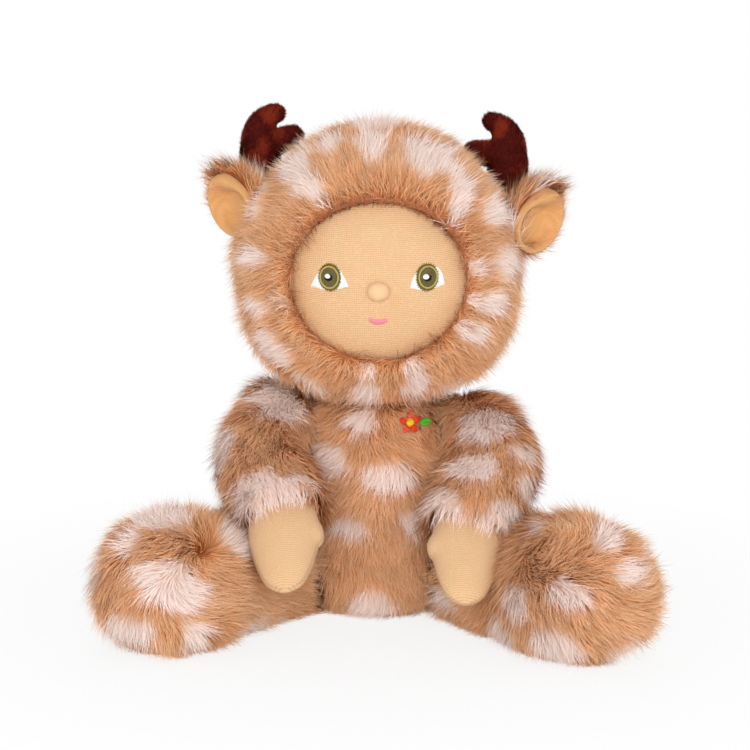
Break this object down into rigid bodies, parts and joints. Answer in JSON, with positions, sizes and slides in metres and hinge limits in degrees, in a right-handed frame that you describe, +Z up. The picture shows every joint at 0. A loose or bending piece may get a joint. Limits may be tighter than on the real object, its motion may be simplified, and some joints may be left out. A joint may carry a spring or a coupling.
{
  "type": "plush deer doll",
  "caption": "Seated rag doll in a fluffy fawn suit: knitted face and mittens, embroidered eyes, cupped ears and stuffed velour antlers; head, arms and legs turn on disc joints.",
  "frame": {"origin": "on the floor under the middle of the torso and of the neck joint", "axes": "+Z up from the floor it sits on, -Y the way the face looks, +X the doll's own left"},
  "size_m": [0.234, 0.173, 0.2261],
  "materials": {
    "fawn_fur": "matte",
    "rust_hem": "matte",
    "peach_knit": "matte",
    "tan_velour": "satin",
    "brown_velour": "satin",
    "white_thread": "satin",
    "olive_thread": "satin",
    "black_thread": "satin",
    "pink_thread": "satin",
    "red_thread": "satin",
    "yellow_thread": "satin",
    "green_thread": "satin",
    "filling": "matte",
    "joint_plastic": "matte"
  },
  "bodies": {
    "torso": {"torso_cover": "fawn_fur", "torso_filling": "filling", "chest_flower_petals": "red_thread", "chest_flower_centre": "yellow_thread", "chest_flower_leaf": "green_thread", "neck_washer": "joint_plastic", "left_shoulder_washer": "joint_plastic", "right_shoulder_washer": "joint_plastic", "left_hip_washer": "joint_plastic", "right_hip_washer": "joint_plastic"},
    "head": {"hood_cover": "fawn_fur", "hood_hem": "rust_hem", "face_cover": "peach_knit", "head_filling": "filling", "nose": "peach_knit", "mouth": "pink_thread", "neck_disc": "joint_plastic", "neck_lock_ring": "joint_plastic", "left_eye_white": "white_thread", "left_iris": "olive_thread", "left_pupil": "black_thread", "left_ear_back": "fawn_fur", "left_ear_lining": "tan_velour", "left_antler_cover": "brown_velour", "left_antler_filling": "filling", "right_eye_white": "white_thread", "right_iris": "olive_thread", "right_pupil": "black_thread", "right_ear_back": "fawn_fur", "right_ear_lining": "tan_velour", "right_antler_cover": "brown_velour", "right_antler_filling": "filling"},
    "left_arm": {"left_arm_cover": "fawn_fur", "left_arm_filling": "filling", "left_hand_cover": "peach_knit", "left_hand_filling": "filling", "left_shoulder_disc": "joint_plastic", "left_shoulder_lock_ring": "joint_plastic"},
    "right_arm": {"right_arm_cover": "fawn_fur", "right_arm_filling": "filling", "right_hand_cover": "peach_knit", "right_hand_filling": "filling", "right_shoulder_disc": "joint_plastic", "right_shoulder_lock_ring": "joint_plastic"},
    "left_leg": {"left_leg_cover": "fawn_fur", "left_leg_filling": "filling", "left_hip_disc": "joint_plastic", "left_hip_lock_ring": "joint_plastic"},
    "right_leg": {"right_leg_cover": "fawn_fur", "right_leg_filling": "filling", "right_hip_disc": "joint_plastic", "right_hip_lock_ring": "joint_plastic"}
  },
  "joints": [
    {"name": "neck_turn", "type": "hinge", "parent": "torso", "child": "head", "pos_m": [0, 0, 0.098], "axis": [0, 0, 1], "range_deg": [-45, 45]},
    {"name": "left_shoulder_turn", "type": "hinge", "parent": "torso", "child": "left_arm", "pos_m": [0.0285, 0, 0.078], "axis": [-0.9976, -0.0698, 0], "range_deg": [0, 40]},
    {"name": "right_shoulder_turn", "type": "hinge", "parent": "torso", "child": "right_arm", "pos_m": [-0.0285, 0, 0.078], "axis": [-0.9945, 0.1045, 0], "range_deg": [0, 40]},
    {"name": "left_hip_turn", "type": "hinge", "parent": "torso", "child": "left_leg", "pos_m": [0.021, -0.012, 0.024], "axis": [0.8616, 0.5075, 0], "range_deg": [0, 65]},
    {"name": "right_hip_turn", "type": "hinge", "parent": "torso", "child": "right_leg", "pos_m": [-0.021, -0.012, 0.024], "axis": [0.8434, -0.5373, 0], "range_deg": [0, 65]}
  ]
}
